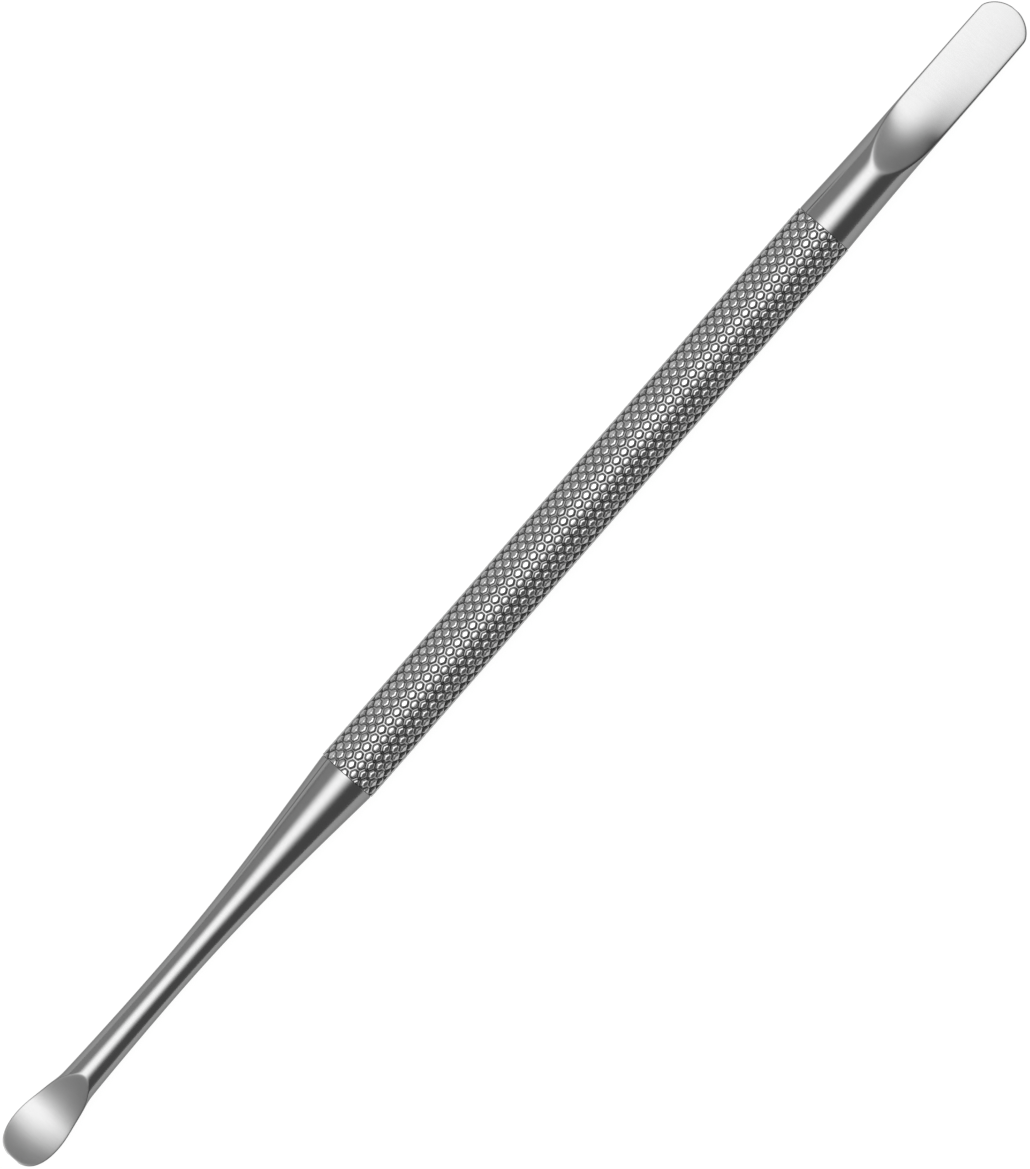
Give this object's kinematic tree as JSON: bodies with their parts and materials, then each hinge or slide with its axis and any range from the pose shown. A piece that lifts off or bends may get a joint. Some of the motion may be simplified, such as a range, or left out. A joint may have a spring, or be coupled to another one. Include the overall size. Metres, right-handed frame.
{
  "type": "cuticle pusher",
  "caption": "Double-ended nail tool: round hollow handle with a raised grip pattern, a broad flat pusher blade at one end and a small upturned scoop on a slim neck at the other.",
  "frame": {"origin": "on the tool's axis at the handle's mid-length", "axes": "+X along the tool towards the pusher blade, +Z out of the hollow working faces of both tips, +Y completes the frame across the blade"},
  "size_m": [0.135, 0.0058, 0.0058],
  "materials": {
    "knurled_steel": "satin stainless steel, rolled with rows of raised six-sided studs",
    "satin_steel": "satin stainless steel with a very fine ground grain",
    "silver_braze": "matt silver brazing alloy"
  },
  "bodies": {
    "root": {"handle_tube": "knurled_steel", "pusher_tip": "satin_steel", "spoon_tip": "satin_steel", "pusher_braze_ring": "silver_braze", "spoon_braze_ring": "silver_braze"}
  },
  "joints": []
}
